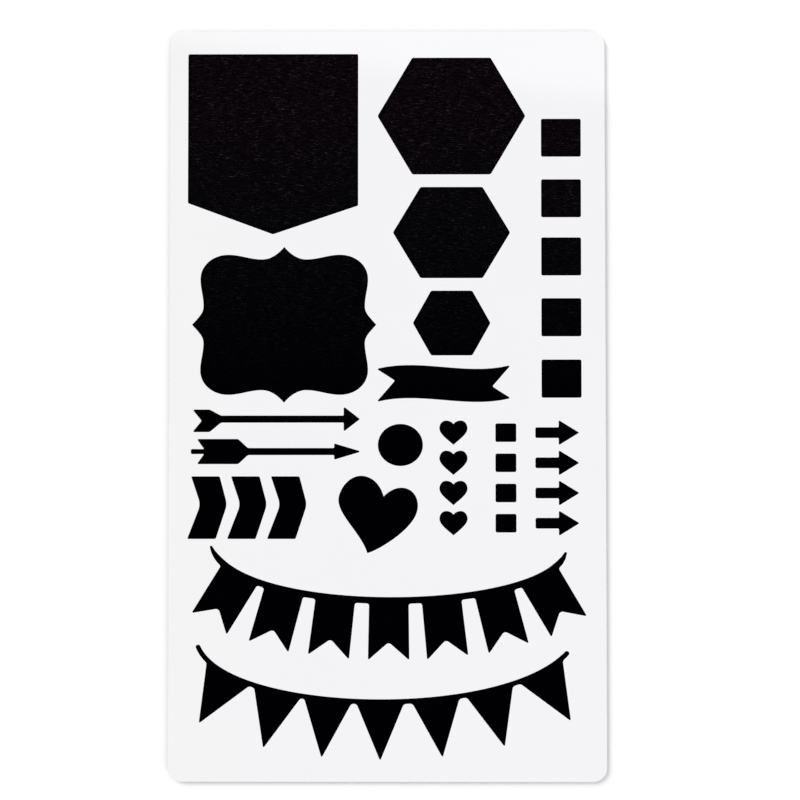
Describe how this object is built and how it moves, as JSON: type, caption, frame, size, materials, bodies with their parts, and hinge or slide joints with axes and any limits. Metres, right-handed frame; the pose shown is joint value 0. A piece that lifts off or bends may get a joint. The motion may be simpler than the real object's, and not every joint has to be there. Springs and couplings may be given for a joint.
{
  "type": "drawing stencil",
  "caption": "Thin plastic planner stencil with rounded corners, cut through with labels, hexagons, arrows, hearts, squares and strings of flags for a pen to follow.",
  "frame": {"origin": "centre of the sheet's outline, on its back face", "axes": "+X to the right and +Y to the top of the page as it is read, +Z out of the front face"},
  "size_m": [0.103, 0.177, 0.0005],
  "materials": {
    "white_plastic": "satin"
  },
  "bodies": {
    "root": {"stencil_sheet": "white_plastic"}
  },
  "joints": []
}
